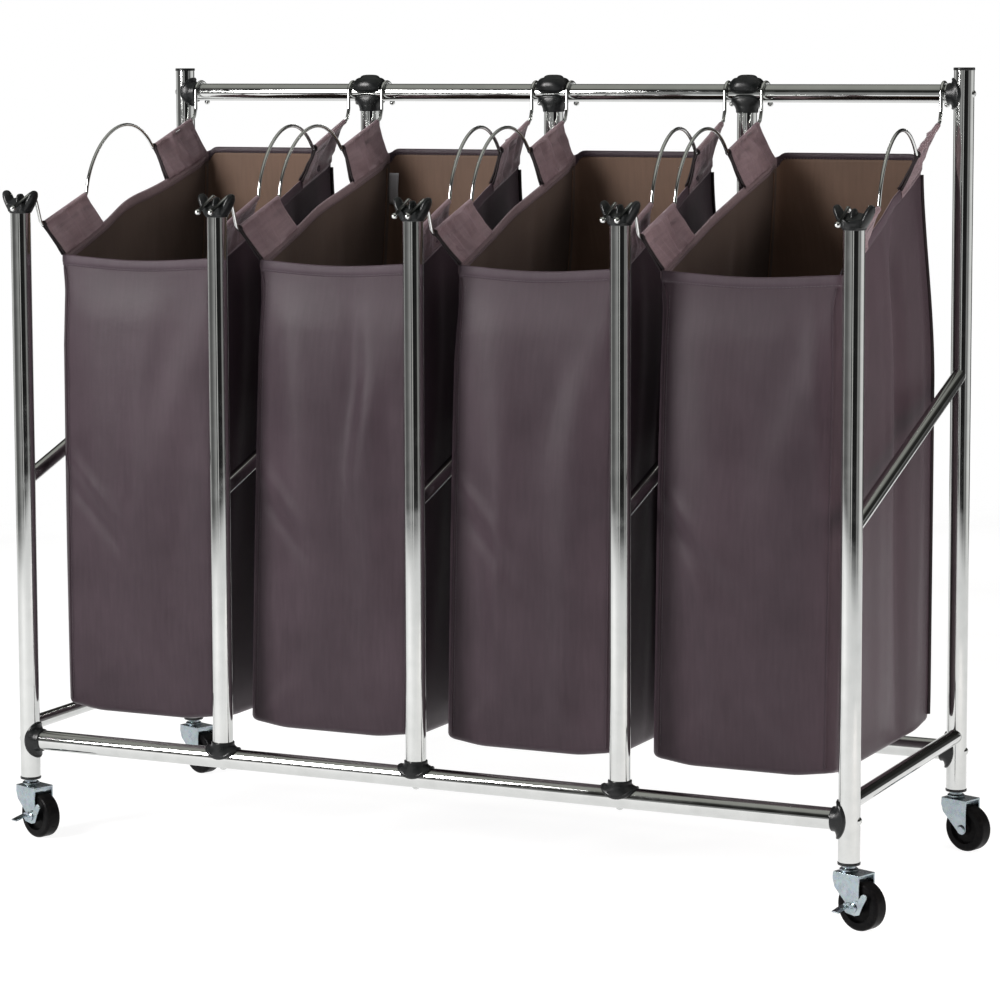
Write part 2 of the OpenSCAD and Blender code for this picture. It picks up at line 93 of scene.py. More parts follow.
WIRE_R = 1.9 * MM
BALL_R = 3.2 * MM
NOTCH_X = 8.7 * MM
HOOK_X = 22 * MM
SLEEVE_SLOPE = 0.3537
SLEEVE_FRONT = (-151 * MM, 680 * MM)
HANDLE_Y = (-65 * MM, 73 * MM)
SLEEVE_REAR_Y = 158 * MM
HANDLE_RISE = 48 * MM
HANDLE_SET_BACK = 7 * MM


# ---- material nodes ----

class Nodes:
    """Adds nodes to a tree, and links or sets their inputs."""

    def __init__(self, tree):
        self.tree = tree

    def add(self, kind, inputs=None, **settings):
        node = self.tree.nodes.new(kind)
        for key, value in settings.items():
            setattr(node, key, value)
        for key, value in (inputs or {}).items():
            self.plug(node.inputs[key], value)
        return node

    def plug(self, socket, value):
        if isinstance(value, bpy.types.NodeSocket):
            self.tree.links.new(value, socket)
        else:
            socket.default_value = value

    def math(self, operation, a, b=0.5):
        return self.add("ShaderNodeMath", {0: a, 1: b}, operation=operation).outputs[0]

    def colours(self, value, *stops):
        """A colour ramp over a value, from stops of (position, colour)."""
        node = self.add("ShaderNodeValToRGB", {"Fac": value})
        elements = node.color_ramp.elements
        for k, (at, colour) in enumerate(stops):
            element = elements[k] if k < 2 else elements.new(at)
            element.position = at
            element.color = (*colour, 1)
        return node.outputs["Color"]

    def mix(self, share, a, b, kind="MIX"):
        node = self.add("ShaderNodeMix", data_type="RGBA", blend_type=kind)
        self.plug(node.inputs["Factor"], share)
        for socket, value in (("A", a), ("B", b)):
            is_socket = isinstance(value, bpy.types.NodeSocket)
            self.plug(node.inputs[socket], value if is_socket else (*value, 1))
        return node.outputs["Result"]


class Finish(Nodes):
    """A material whose Principled shader is driven by nodes that this class adds."""

    def __init__(self, name, **fixed):
        self.material = bpy.data.materials.new(name)
        self.material.use_nodes = True
        super().__init__(self.material.node_tree)
        self.shader = self.tree.nodes["Principled BSDF"]
        for socket, value in fixed.items():
            self.shader.inputs[socket.replace("_", " ")].default_value = value

    def drive(self, socket, value):
        self.plug(self.shader.inputs[socket], value)

    def coords(self, which="Object", scale=(1, 1, 1)):
        source = self.add("ShaderNodeTexCoord").outputs[which]
        return self.add("ShaderNodeMapping", {"Vector": source, "Scale": scale}).outputs[0]

    def noise(self, vector, scale, detail=3.0, rough=0.5):
        inputs = {"Vector": vector, "Scale": scale, "Detail": detail, "Roughness": rough}
        return self.add("ShaderNodeTexNoise", inputs).outputs["Fac"]

    def remap(self, value, low, high, to_low=0.0, to_high=1.0):
        inputs = {"Value": value, "From Min": low, "From Max": high,
                  "To Min": to_low, "To Max": to_high}
        return self.add("ShaderNodeMapRange", inputs).outputs[0]

    def bump(self, height, distance, strength=1.0, under=None):
        inputs = {"Height": height, "Distance": distance, "Strength": strength}
        if under is not None:
            inputs["Normal"] = under
        return self.add("ShaderNodeBump", inputs).outputs["Normal"]


def cast_finish(name, tones, spots, rough, cloud, relief, grain, **fixed):
    """Colour, roughness and fine relief that follow the noises spots, cloud and grain."""
    f = Finish(name, **fixed)
    place = f.coords()
    f.drive("Base Color", f.colours(f.noise(place, *spots), *tones))
    f.drive("Roughness", f.remap(f.noise(place, *cloud), *rough))
    f.drive("Normal", f.bump(f.noise(place, *grain), *relief))
    return f.material


def chrome_finish(name, roughness=0.07, shine=1.0):
    low, high = [tuple(c * shine for c in t) for t in ((0.56, 0.57, 0.56), (0.62, 0.63, 0.62))]
    smudge = (55, 4)
    return cast_finish(name, ((0.3, low), (0.7, high)), smudge,
                       (0.35, 0.75, roughness * 0.7, roughness * 1.6), smudge,
                       (0.003 * MM, 0.05), (240, 2), Metallic=1.0)


def black_plastic_finish():
    cloud = (90, 3)
    return cast_finish("black_plastic", ((0.3, (0.006, 0.007, 0.007)), (0.75, (0.012, 0.013, 0.014))), cloud,
                       (0.3, 0.7, 0.24, 0.36), cloud, (0.03 * MM, 0.5), (2600, 2),
                       IOR=1.5, Specular_IOR_Level=0.3)


def wheel_finish():
    scuff = (300, 5, 0.65)
    return cast_finish("wheel_black", ((0.45, (0.004, 0.004, 0.0045)), (0.85, (0.012, 0.011, 0.010))), scuff,
                       (0.3, 0.7, 0.26, 0.42), (60, 2), (0.05 * MM, 0.5), scuff,
                       IOR=1.5, Specular_IOR_Level=0.05)


def thread_finish():
    twist = (1500, 2)
    return cast_finish("sewing_thread", ((0.3, (0.045, 0.035, 0.042)), (0.7, (0.095, 0.078, 0.090))), twist,
                       (0.3, 0.7, 0.55, 0.75), twist, (0.08 * MM, 0.5), twist,
                       Sheen_Weight=0.3, IOR=1.45)


def zinc_finish():
    f = Finish("zinc_plate", Metallic=1.0)
    place = f.coords()
    spangle = f.add("ShaderNodeTexVoronoi", {"Vector": place, "Scale": 420}).outputs["Color"]
    patch = f.noise(place, 130, 3)
    tone = f.colours(patch, (0.3, (0.30, 0.35, 0.38)), (0.7, (0.42, 0.48, 0.51)))
    f.drive("Base Color", f.mix(0.06, tone, spangle, "OVERLAY"))
    f.drive("Roughness", f.remap(patch, 0.3, 0.7, 0.20, 0.36))
    f.drive("Normal", f.bump(f.noise(place, 900, 4), 0.03 * MM, 0.4))
    return f.material


def woven_height(f, pitch):
    """Height of a plain weave whose threads are pitch apart, from the UV map, which is in metres."""
    across, along, _ = f.add("ShaderNodeSeparateXYZ", {"Vector": f.coords("UV")}).outputs
    turns = [f.math("MULTIPLY", way, math.pi / pitch) for way in (across, along)]
    waves = [f.math("SINE", t) for t in turns]
    crowns = [f.math("ABSOLUTE", w) for w in waves]
    over = f.math("GREATER_THAN", f.math("MULTIPLY", waves[0], waves[1]), 0.0)
    warp = f.math("MULTIPLY", crowns[0], over)
    weft = f.math("MULTIPLY", crowns[1], f.math("SUBTRACT", 1.0, over))
    return f.math("ADD", warp, weft)


def cloth_finish(name, dark, light, sheen, roughness, creases=1.0):
    """Woven polyester: thread relief, a soft mottle, drawn-out streaks, fine creases, and painted shade
    between the threads.
    """
    f = Finish(name, Sheen_Weight=sheen, Sheen_Roughness=0.35, Sheen_Tint=(0.78, 0.60, 0.70, 1),
               IOR=1.45, Specular_IOR_Level=0.26)
    weave = woven_height(f, 0.55 * MM)
    place = f.coords()
    streak = f.noise(f.coords("UV", (260, 22, 1)), 1.0, 3)
    mottle = f.noise(place, 9, 4, 0.6)
    shade = f.math("ADD", f.math("MULTIPLY", mottle, 0.65), f.math("MULTIPLY", streak, 0.35))
    tone = f.colours(shade, (0.32, dark), (0.68, light))
    # painted shade: the colour darkens in the hollows between threads and lightens on their crowns
    threads = f.remap(weave, 0.0, 1.0, 0.72, 1.12)
    shadow = f.add("ShaderNodeCombineColor", {"Red": threads, "Green": threads, "Blue": threads})
    f.drive("Base Color", f.mix(1.0, tone, shadow.outputs[0], "MULTIPLY"))
    f.drive("Roughness", f.remap(mottle, 0.3, 0.7, roughness - 0.06, roughness + 0.06))
    crease = f.noise(place, 26, 5, 0.62)
    soft = f.bump(crease, 1.6 * MM * creases, 0.35)
    f.drive("Normal", f.bump(weave, 0.12 * MM, 0.35, soft))
    return f.material


def label_finish():
    f = Finish("label_satin", IOR=1.45, Sheen_Weight=0.2)
    weave = woven_height(f, 0.35 * MM)
    # painted shade: the label is darker in the weave's hollows and lighter on the thread crowns
    f.drive("Base Color", f.colours(weave, (0.0, (0.32, 0.32, 0.33)), (1.0, (0.50, 0.50, 0.52))))
    f.drive("Roughness", f.remap(weave, 0.0, 1.0, 0.5, 0.38))
    f.drive("Normal", f.bump(weave, 0.06 * MM, 0.4))
    return f.material


def floor_finish():
    """White studio floor that thins out to nothing past the set, so that no edge shows."""
    f = Finish("floor_pale", Roughness=0.9, Emission_Strength=4.15)
    place = f.coords()
    tone = f.colours(f.noise(place, 3, 2), (0.3, (0.215, 0.215, 0.215)), (0.7, (0.225, 0.225, 0.225)))
    f.drive("Base Color", tone)
    f.drive("Emission Color", tone)
    away = f.add("ShaderNodeVectorMath", {0: place}, operation="LENGTH").outputs["Value"]
    f.drive("Alpha", f.remap(away, 2.3, 2.95, 1.0, 0.0))
    return f.material


CHROME = chrome_finish("chrome_tube")
CHROME_WIRE = chrome_finish("chrome_wire", 0.12, 1.2)
CHROME_SCREW = chrome_finish("chrome_screw", 0.14)
ZINC = zinc_finish()
BLACK = black_plastic_finish()
WHEEL = wheel_finish()
CLOTH_OUT = cloth_finish("bag_outer", (0.032, 0.021, 0.027), (0.051, 0.034, 0.043), 0.12, 0.38)
CLOTH_IN = cloth_finish("bag_lining", (0.113, 0.069, 0.048), (0.155, 0.096, 0.068), 0.05, 0.62)
# painted shade: the side walls' lining is the same cloth as bag_lining, darkened to stand in for the shade
# on the inner side walls
CLOTH_SIDE_IN_PAINTED_SHADE = cloth_finish("bag_side_lining_painted_shade", (0.078, 0.060, 0.051), (0.108, 0.083, 0.071), 0.05, 0.62)
CLOTH_HEM = cloth_finish("bag_hem", (0.040, 0.027, 0.035), (0.060, 0.042, 0.053), 0.18, 0.48,
                         creases=0.5)
# painted light: the tabs are the bag's outer cloth, made lighter than bag_outer to stand in for the light
# and satin highlights on their wrinkles
CLOTH_TAB_PAINTED_LIGHT = cloth_finish("bag_tab_painted_light", (0.115, 0.080, 0.090), (0.235, 0.172, 0.186), 0.30, 0.31,
                         creases=2.6)
# painted light: the outer cloth turned in over the side walls' rim, made several times lighter than
# bag_outer to stand in for light falling on it
CLOTH_TAPE_PAINTED_LIGHT = cloth_finish("bag_tape_painted_light", (0.15, 0.113, 0.122), (0.24, 0.185, 0.198), 0.20, 0.45)
# near-black cloth: dark piping on the rear corner seams, and painted shade in the cord at each tab's front
# edge, which stands for the shaded gap between the tab's layers
CLOTH_EDGE_PIPING_AND_SHADE = cloth_finish("bag_edge_piping_and_painted_shade", (0.012, 0.009, 0.010), (0.022, 0.016, 0.018), 0.05, 0.60,
                          creases=0.3)
THREAD = thread_finish()
LABEL = label_finish()
FLOOR = floor_finish()


# ---- mesh helpers ----

def circle(steps):
    """Angles spread evenly round a circle."""
    return np.linspace(0, 2 * math.pi, steps, endpoint=False)


def unit(vector):
    return vector / np.linalg.norm(vector)


def blend(a, b, share):
    return a + (b - a) * share


def power(value, exponent):
    """A value's size raised to an exponent, with its sign kept."""
    return math.copysign(abs(value) ** exponent, value)


def shade_smooth(mesh):
    mesh.polygons.foreach_set("use_smooth", [True] * len(mesh.polygons))


def add_object(name, data):
    obj = bpy.data.objects.new(name, data)
    bpy.context.scene.collection.objects.link(obj)
    return obj


def finish_mesh(name, mesh, materials):
    mesh.validate()
    for m in materials:
        mesh.materials.append(m)
    shade_smooth(mesh)
    return add_object(name, mesh)


def grid_mesh(name, points, materials, closed=False, capped=False):
    """Skin over rows of points, with UVs in metres; closed joins the last column to the first."""
    points = np.asarray(points, float)
    rows, cols = points.shape[:2]
    steps = cols if closed else cols - 1
    ring = np.concatenate([points, points[:, :1]], axis=1) if closed else points
    across = np.linalg.norm(np.diff(ring, axis=1), axis=2)
    u = np.concatenate([np.zeros((rows, 1)), np.cumsum(across, axis=1)], axis=1)
    v = np.concatenate([[0], np.cumsum(np.linalg.norm(np.diff(points, axis=0), axis=2).mean(1))])
    faces, corners = [], []
    for r in range(rows - 1):
        for c in range(steps):
            low, high, d = r * cols, (r + 1) * cols, (c + 1) % cols
            faces.append((low + c, low + d, high + d, high + c))
            corners += [(u[i, j], v[i]) for i, j in ((r, c), (r, c + 1), (r + 1, c + 1), (r + 1, c))]
    if capped:
        for r in (0, rows - 1):
            loop = [r * cols + c for c in range(cols)]
            faces.append(tuple(loop[::-1] if r == 0 else loop))
            corners += [(points[r, c, 0], points[r, c, 1]) for c in range(cols)]
    mesh = bpy.data.meshes.new(name)
    mesh.from_pydata([tuple(p) for p in points.reshape(-1, 3)], [], faces)
    layer = mesh.uv_layers.new(name="UVMap")
    layer.data.foreach_set("uv", np.array(corners, np.float32).ravel())
    return finish_mesh(name, mesh, materials)


def frames_along(path):
    """Two normals at each point of a polyline, which don't twist along it."""
    tangents = np.gradient(path, axis=0)
    tangents /= np.linalg.norm(tangents, axis=1)[:, None]
    side = np.cross(tangents[0], (0.0, 0.0, 1.0))
    if np.linalg.norm(side) < 0.1:
        side = np.cross(tangents[0], (1.0, 0.0, 0.0))
    sides = []
    for t in tangents:
        side = unit(side - (side @ t) * t)
        sides.append(side)
    return np.array(sides), np.cross(tangents, sides)


def tube(name, path, radii, materials, sides):
    path = np.asarray(path, float)
    radii = np.broadcast_to(np.asarray(radii, float), (len(path),))[:, None, None]
    a, b = frames_along(path)
    cosines, sines = [f(circle(sides))[None, :, None] for f in (np.cos, np.sin)]
    points = path[:, None] + radii * (cosines * a[:, None] + sines * b[:, None])
    return grid_mesh(name, points, materials, closed=True, capped=True)


def joined(name, parts):
    """One object from several of one material each."""
    mesh = bpy.data.meshes.new(name)
    bm = bmesh.new()
    materials = []
    for part in parts:
        first = len(bm.faces)
        bm.from_mesh(part.data)
        bm.faces.ensure_lookup_table()
        (material,) = part.data.materials
        if material not in materials:
            materials.append(material)
        for face in bm.faces[first:]:
            face.material_index = materials.index(material)
    bm.to_mesh(mesh)
    bm.free()
    for part in parts:
        bpy.data.meshes.remove(part.data)
    return finish_mesh(name, mesh, materials)


def apply_modifiers(obj):
    evaluated = obj.evaluated_get(bpy.context.evaluated_depsgraph_get())
    old, obj.data = obj.data, bpy.data.meshes.new_from_object(evaluated)
    obj.modifiers.clear()
    bpy.data.meshes.remove(old)
    return obj


def modify(obj, kind, **settings):
    modifier = obj.modifiers.new(kind.lower(), kind)
    for key, value in settings.items():
        setattr(modifier, key, value)


def thicken(obj, thickness, **settings):
    """Turns a skin into cloth of a thickness, which goes inwards unless an offset is set."""
    modify(obj, "SOLIDIFY", thickness=thickness, **settings)
    return apply_modifiers(obj)


def moulded(node, how, voxel, material):
    """A copy of a CAD node with its edges rounded as moulding or stamping leaves them."""
    mesh = NODES[node].data.copy()
    mesh.name = f"{node}_{how}"
    mesh.materials.clear()
    return fused(finish_mesh(mesh.name, mesh, [material]), voxel, 3, 0.5)


def fused(obj, voxel, passes, keep):
    """Overlapping forms made one skin, its edges softened, with a share of its faces kept."""
    modify(obj, "WELD", merge_threshold=0.01 * MM)
    modify(obj, "REMESH", mode="VOXEL", voxel_size=voxel, use_smooth_shade=True)
    modify(obj, "SMOOTH", factor=0.5, iterations=passes)
    modify(obj, "DECIMATE", ratio=keep)
    apply_modifiers(obj)
    shade_smooth(obj.data)
    return obj


def saddle(name, origin, axis, toward, tube_r, reach, collar_r, height, turn, dome=False, square=1.0):
    """A moulded saddle: a lens-shaped pad round one tube that rises to a collar on another.

    origin, axis and tube_r are the tube it straddles; toward points along the joined tube; reach
    and turn are how far the pad goes along and round the first tube; height is the collar's top;
    square below 1 fills out the corners of the pad's outline.
    """
    origin, axis, toward = Vector(origin), Vector(axis), Vector(toward)
    across = axis.cross(toward)
    turns = circle(64)
    # the collar's profile: share of its radius, and how far below its top
    profile = [(0.86, 0), (0.94, 0), (0.985, 0.4), (1.0, 1.2), (1.0, 3.2), (1.03, 4.2)]
    if dome:
        profile = [(0.0, 0), (0.38, 0.1), (0.68, 0.6), (0.88, 1.7), (1.0, 3.4)]
    rows = [[(collar_r * size * math.cos(t), collar_r * size * math.sin(t), height - down * MM)
             for t in turns] for size, down in profile]
    base = rows[-1]
    edge_r = tube_r + 1.7 * MM
    for share in np.linspace(0.08, 1.0, 15):
        ease = share ** (1.7 if dome else 0.62)
        lip = 0.55 * MM * math.exp(-((share - 0.80) / 0.07) ** 2)
        ring = []
        for (s, y, z), t in zip(base, turns):
            out_s = blend(s, reach * power(math.cos(t), square), share ** (0.6 if dome else 1.0))
            round_by = blend(math.atan2(y, z), turn * power(math.sin(t), square), share)
            far = blend(math.hypot(y, z), edge_r, ease) + lip
            ring.append((out_s, far * math.sin(round_by), far * math.cos(round_by)))
        rows.append(ring)
    for inset in (0.8 * MM, 1.65 * MM):
        rows.append([(s, y * (edge_r - inset) / math.hypot(y, z), z * (edge_r - inset) / math.hypot(y, z))
                     for s, y, z in ring])
    points = [[tuple(origin + axis * p[0] + across * p[1] + toward * p[2]) for p in row]
              for row in rows]
    return grid_mesh(name, points, [BLACK], closed=True)


def put(obj, body, slot, *nodes):
    """Rides on a body and stands for the CAD nodes named, which it hides; slot is not used."""
    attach(obj, body)
    if nodes:
        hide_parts(*nodes)


# ---- hanger wires ----

SKEW = (HOOK_X - NOTCH_X) / (REAR_Y - FRONT_Y)


def on_sleeve(y):
    return (y, SLEEVE_FRONT[1] + (y - SLEEVE_FRONT[0]) * SLEEVE_SLOPE)


def rounded(corners, bend):
    """A polyline's points with each corner turned into an arc of about that bend radius."""
    corners = [Vector(c) for c in corners]
    points = corners[:1]
    for a, b, c in zip(corners, corners[1:], corners[2:]):
        to_a, to_c = (a - b), (c - b)
        angle = to_a.angle(to_c)
        cut = min(bend / math.tan(angle / 2), 0.48 * to_a.length, 0.48 * to_c.length)
        start, end = b + to_a.normalized() * cut, b + to_c.normalized() * cut
        count = max(3, int((math.pi - angle) * cut / (1.2 * MM)) + 3)
        for k in range(count + 1):
            t = k / count
            points.append(start * (1 - t) ** 2 + b * 2 * t * (1 - t) + end * t ** 2)
    return points + corners[-1:]


def handle_arc():
    """The handle's arch over its chord, which leans back a little at its top."""
    a, b = Vector(on_sleeve(HANDLE_Y[0])), Vector(on_sleeve(HANDLE_Y[1]))
    half = (b - a).length / 2
    along = (b - a).normalized()
    across = Vector((-along.y, along.x))
    radius = (half ** 2 + HANDLE_RISE ** 2) / (2 * HANDLE_RISE)
    reach = math.asin(half / radius)
    points = []
    for turn in np.linspace(-reach, reach, 29):
        u = radius * math.sin(turn)
        v = radius * math.cos(turn) - (radius - HANDLE_RISE)
        back = HANDLE_SET_BACK * (1 - (u / half) ** 2)
        points.append((a + b) / 2 + along * (u + back) + across * v)
    return points


def wire_route():
    """The wire's line as (y, z), from its front ball to its rear one."""
    front = [(-207, 700.4), (-172, 715.6), (-166, 713.0), (-161.5, 702), (-155.5, 684.5)]
    front = [(y * MM, z * MM) for y, z in front] + [on_sleeve(SLEEVE_FRONT[0])]
    arc = handle_arc()
    start = rounded([*front, on_sleeve(HANDLE_Y[0] - 14 * MM)], 3.2 * MM)
    into = rounded([on_sleeve(HANDLE_Y[0] - 12 * MM), on_sleeve(HANDLE_Y[0]), arc[1]], 5 * MM)
    out = rounded([arc[-2], on_sleeve(HANDLE_Y[1]), on_sleeve(HANDLE_Y[1] + 12 * MM)], 5 * MM)
    hook_r = TOP_RAIL_R + WIRE_R + 0.7 * MM
    hook_z = TOP_RAIL_Z + TOP_RAIL_R + WIRE_R + 0.3 * MM - hook_r
    hook = [Vector((REAR_Y + hook_r * math.cos(t), hook_z + hook_r * math.sin(t)))
            for t in np.linspace(math.pi, 0, 28)]
    rise = [on_sleeve(SLEEVE_REAR_Y - 14 * MM), on_sleeve(SLEEVE_REAR_Y), (163.4 * MM, 792.6 * MM),
            (REAR_Y - hook_r, 803 * MM), hook[0]]
    tip = [Vector((REAR_Y + hook_r, 810 * MM))]
    return start + into[1:] + arc[2:-2] + out[1:] + rounded(rise, 5 * MM)[:-1] + hook + tip


def post_beside(i, side_name):
    """The x of the post on one side of a bag, and the way from there to the bag's middle."""
    return (POST_X[i - 1], 1) if side_name == "left" else (POST_X[i], -1)


def wire_at(point, post_x, side):
    return (post_x + side * (NOTCH_X + (point[0] - FRONT_Y) * SKEW), point[0], point[1])


def with_balls(path):
    """The wire's centre line and radii with a ball at each end."""
    path = [Vector(p) for p in path]
    ends = []
    for tip, inner in ((path[0], path[1]), (path[-1], path[-2])):
        away = (tip - inner).normalized()
        turns = np.radians([80, 60, 40, 20, 0, -20, -36, -48])
        ends.append([(tip + away * BALL_R * math.sin(t), max(BALL_R * math.cos(t), WIRE_R * 0.35))
                     for t in turns])
    neck = [p for p in path[1:-1]
            if (p - path[0]).length > 1.1 * BALL_R and (p - path[-1]).length > 1.1 * BALL_R]
    return zip(*ends[0], *((p, WIRE_R) for p in neck), *ends[1][::-1])


def make_hanger(i, side_name):
    post_x, side = post_beside(i, side_name)
    node = f"hanger_{i}_{side_name}"
    path, radii = with_balls([wire_at(p, post_x, side) for p in wire_route()])
    put(tube(f"{node}_wire", path, radii, [CHROME_WIRE], 18), node, "chrome_wire", node)


# ---- bags ----

def smooth_step(x):
    x = np.clip(x, 0, 1)
    return x * x * (3 - 2 * x)


def rim_height(y):
    """Height of the side panels' hemmed edge."""
    share = (y - BAG_FRONT_Y) / BAG_DEPTH
    line = FRONT_TOP + (y - BAG_FRONT_Y) * RIM_SLOPE
    return line + 4 * MM * math.sin(math.pi * min(max(share, 0), 1) * 0.85)


def share_to_y(panel, share):
    if panel == "right":
        return BAG_FRONT_Y + share * BAG_DEPTH
    if panel == "left":
        return BAG_REAR_Y - share * BAG_DEPTH
    return BAG_REAR_Y if panel == "rear" else BAG_FRONT_Y


def width_of(panel):
    return BAG_DEPTH if panel in SIDES else BAG_W


class BagShape:
    """Where one bag's cloth lies: stations run round it from the front left corner."""

    COUNTS = (46, 68, 44, 68)    # stations on each of PANELS
    # how far the left and right walls stand to the right of plumb: at the rim, below it, at the base
    LEFT = {1: (0, -4, -4), 2: (9.5, 3, -11), 3: (13, 5, -6), 4: (1, -2, -10)}
    RIGHT = {1: (-1, 2, -2), 2: (0, 2, -6), 3: (-1, 1, -5), 4: (0, 1, -5)}
    BOW = {1: 6, 2: 3, 3: 2, 4: 1}
    # how far the hung corner draws the left of the front out, which is where it catches the light
    PULL = {1: 3.5, 2: 8.0, 3: 8.0, 4: 6.0}

    def __init__(self, number):
        self.number = number
        self.mid = (POST_X[number - 1] + POST_X[number]) / 2
        # (panel, share along it) for each station
        self.stations = [(panel, k / count) for panel, count in zip(PANELS, self.COUNTS)
                         for k in range(count)]
        self.folds = self._folds()

    def _folds(self):
        """Soft folds: (panel, share across, height, lean, width, length, depth)."""
        rng, folds = np.random.default_rng(40 + self.number), []
        for panel, count in (("front", 5), ("right", 5), ("left", 5), ("rear", 3)):
            for _ in range(count):
                folds.append((panel, rng.uniform(0.08, 0.92), rng.uniform(0.15, 0.85),
                              rng.uniform(-0.16, 0.16), rng.uniform(10, 24) * MM,
                              rng.uniform(110, 260) * MM, rng.uniform(-3.4, 3.6) * MM))
        # tension lines that fall away from the hung corners, and the tucked lower corners
        for share, level, lean, wide, long, deep in (
                (0.94, 0.88, -0.34, 27, 190, 3.0), (0.78, 0.84, -0.30, 24, 170, -2.6),
                (0.28, 0.66, 0.06, 34, 240, self.PULL[self.number]),
                (0.13, 0.34, 0.16, 24, 140, -3.6),
                (0.14, 0.53, 0.80, 10, 55, 3.2), (0.14, 0.475, 0.80, 12, 60, -4.0)):
            folds.append(("front", share, level, lean, wide * MM, long * MM, deep * MM))
        for panel, share, level, lean, long, deep in (
                ("front", 0.10, 0.02, -0.75, 60, 3.0), ("front", 0.90, 0.02, 0.75, 60, 3.0),
                ("right", 0.16, 0.80, -0.10, 230, 4.0), ("right", 0.46, 0.72, 0.02, 300, 5.0),
                ("right", 0.66, 0.60, 0.03, 330, -6.0), ("right", 0.84, 0.62, 0.0, 330, 4.0),
                ("left", 0.30, 0.80, -0.12, 210, 4.0), ("left", 0.80, 0.80, 0.10, 210, 4.0)):
            folds.append((panel, share, level, lean, 15 * MM, long * MM, deep * MM))
        if self.number == 4:
            folds.append(("right", 0.64, 0.62, 0.02, 24 * MM, 420 * MM, -9 * MM))
            folds.append(("right", 0.36, 0.62, 0.02, 24 * MM, 420 * MM, 5 * MM))
        return folds

    def lean_of(self, side, height):
        """How far a side wall stands to the right of plumb at a share of the height."""
        top, below, foot = (self.LEFT if side < 0 else self.RIGHT)[self.number]
        return float(np.interp(height, (0, FRONT_SHARE - 0.16, FRONT_SHARE), (foot, below, top))) * MM

    def outline(self, height):
        """Plan of the bag at a share of its height: four (x, y, radius) corners about its middle."""
        half = BAG_W / 2
        pull = 0.5 * MM + 3.5 * MM * smooth_step((height - 0.72) / 0.28)
        narrow = 13 * MM * smooth_step((height - 0.60) / 0.38)
        round_r = (4 + 7 * smooth_step((FRONT_SHARE - 0.012 - height) / 0.06)) * MM
        front, rear = BAG_FRONT_Y, BAG_REAR_Y - pull
        left, right = self.lean_of(-1, height), self.lean_of(1, height)
        return [(left - half, front, round_r), (right + half, front, round_r),
                (half - narrow, rear, 9 * MM), (narrow - half, rear, 9 * MM)]

    def panel_point(self, panel, share, height):
        """(x, y) and outward normal on the rounded rectangle at this height."""
        corners = self.outline(height)
        k = PANELS.index(panel)
        (ax, ay, ar), (bx, by, br) = corners[k], corners[(k + 1) % 4]
        a, b = np.array([ax, ay]), np.array([bx, by])
        length = np.linalg.norm(b - a)
        along = (b - a) / length
        out = np.array([along[1], -along[0]])
        at = share * length
        middle_at = np.array([self.mid, 0.0])
        if ar <= at <= length - br:
            return middle_at + a + along * at, out
        corner, way, r, left = (a, -along, ar, at) if at < ar else (b, along, br, length - at)
        turn = (r - left) / r * math.pi / 4
        normal = out * math.cos(turn) + way * math.sin(turn)
        return middle_at + corner + (normal - way - out) * r, normal

    def bulge(self, panel, share, height, z):
        """How far the cloth stands out of its plan, along its normal."""
        side_panel = panel in SIDES
        edge = math.sin(math.pi * min(max(share, 0), 1)) ** (0.35 if side_panel else 0.55)
        foot = smooth_step(height / 0.05)
        head = 1 - 0.85 * smooth_step((height - 0.86) / 0.14)
        depth = {"front": 8.5, "rear": 2.0, "left": 3.0, "right": 3.0}[panel] * MM
        belly = depth * math.sin(math.pi * min(max(height, 0), 1)) ** 0.6
        width = width_of(panel)
        across = share * width
        wander = noise.noise(Vector((across * 7 + 7 * self.number, z * 3.5, PANELS.index(panel) * 3.7)))
        total = (belly + wander * 3.0 * MM) * edge * foot
        for name, at, level, lean, wide, long, deep in self.folds:
            if name != panel:
                continue
            drop = (level - height) * FOLD_SPAN
            away = across - at * width - lean * drop
            fade = math.exp(-(drop / long) ** 2)
            total += deep * math.exp(-(away / wide) ** 2) * fade * edge * foot
        if side_panel and total > 0:
            total = SIDE_BULGE * math.tanh(total / SIDE_BULGE)
        total *= head
        if side_panel:
            between = math.exp(-((share_to_y(panel, share) - 4 * MM) / (48 * MM)) ** 2)
            total += self.BOW[self.number] * MM * between * smooth_step((height - 0.74) / 0.2)
        roll = 1 - min(max((z - BAG_BOTTOM) / FOOT_R, 0), 1)
        return total - FOOT_R * (1 - math.sqrt(1 - roll ** 2))

    def top(self, panel, share):
        """Height of the rim at a station."""
        if panel == "front":
            return FRONT_TOP - 4.5 * MM * math.sin(math.pi * share) ** 1.3
        y = share_to_y(panel, share)
        corner = REAR_TOP - 5 * MM
        if panel == "rear":
            return REAR_TOP - 5 * MM * (1 - smooth_step(min(share, 1 - share) / 0.09)) ** 1.5
        rise = smooth_step((y - 146 * MM) / (20 * MM))
        between = math.exp(-((y - 2 * MM) / (40 * MM)) ** 2)
        lifted = rim_height(y) + self.BOW[self.number] * 0.7 * MM * between
        return blend(lifted, corner, rise)

    def point(self, panel, share, level):
        """The cloth's outer point and normal, level 0 at the bottom edge and 1 at the rim."""
        top = self.top(panel, share)
        corner = 1 - smooth_step(min(share, 1 - share) * width_of(panel) / (48 * MM))
        lift = 5 * MM * corner * (1 - level) ** 6
        z = BAG_BOTTOM + level * (top - BAG_BOTTOM) + lift
        height = (z - BAG_BOTTOM) / (REAR_TOP - BAG_BOTTOM)
        relative = level if panel != "rear" else height
        (x, y), normal = self.panel_point(panel, share, height)
        out = self.bulge(panel, share, relative, z - lift)
        return np.array([x + normal[0] * out, y + normal[1] * out, z]), np.array([*normal, 0.0])


def paint(obj, shape, look):
    """Sets each face's material from its row, and from whether it's on a side panel."""
    for k, face in enumerate(obj.data.polygons):
        row, column = divmod(k, len(shape.stations))
        face.material_index = look(row, shape.stations[column][0] in SIDES)


